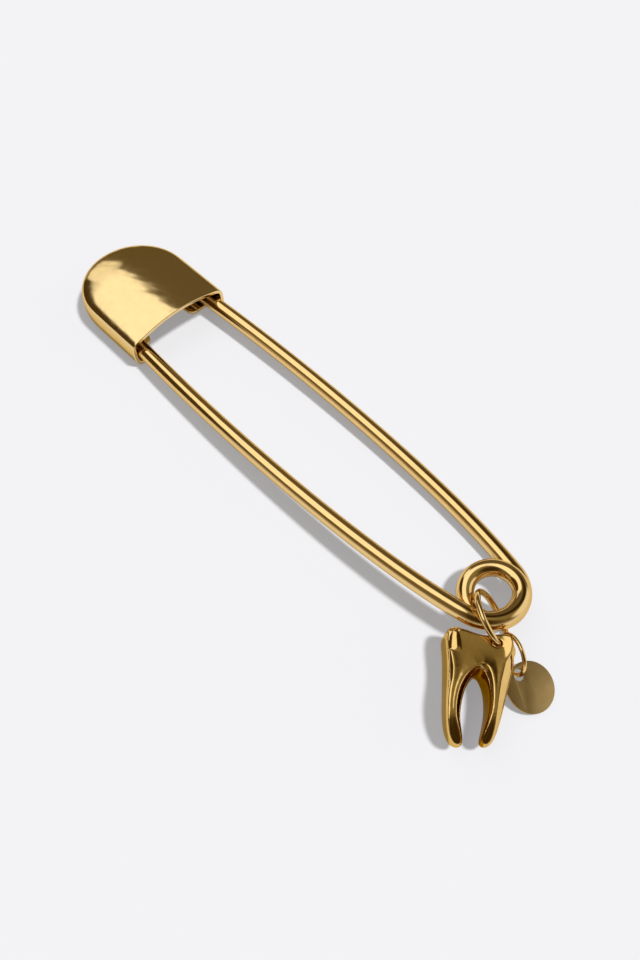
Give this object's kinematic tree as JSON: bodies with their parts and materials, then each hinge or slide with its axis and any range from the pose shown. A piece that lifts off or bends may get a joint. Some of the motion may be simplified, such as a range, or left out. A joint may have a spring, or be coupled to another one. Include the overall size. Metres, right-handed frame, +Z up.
{
  "type": "safety pin brooch with charm",
  "caption": "Large gold-coloured safety pin brooch with a stamped cap and a spring coil, carrying a tooth charm and a small round tag on jump rings.",
  "frame": {"origin": "on the resting plane, under the middle of the spring coil's eye", "axes": "+X from the cap to the coil, +Y toward the fixed arm, +Z up from the back to the front of the brooch"},
  "size_m": [0.0832, 0.0229, 0.0061],
  "materials": {
    "polished_gold": "polished gold plating",
    "satin_gold": "brushed satin gold plating"
  },
  "bodies": {
    "pin": {"cap": "polished_gold", "fixed_arm": "polished_gold", "charm_ring": "polished_gold", "tooth": "polished_gold", "tag_ring": "polished_gold", "tag_disc": "satin_gold"},
    "needle": {"needle": "polished_gold"}
  },
  "joints": [
    {"name": "needle_squeeze", "type": "hinge", "parent": "pin", "child": "needle", "pos_m": [0, 0, 0.003], "axis": [0, 0, -1], "range_deg": [0, 4.5], "stiffness_Nm_per_rad": 0.05, "springref_deg": -11.46}
  ]
}
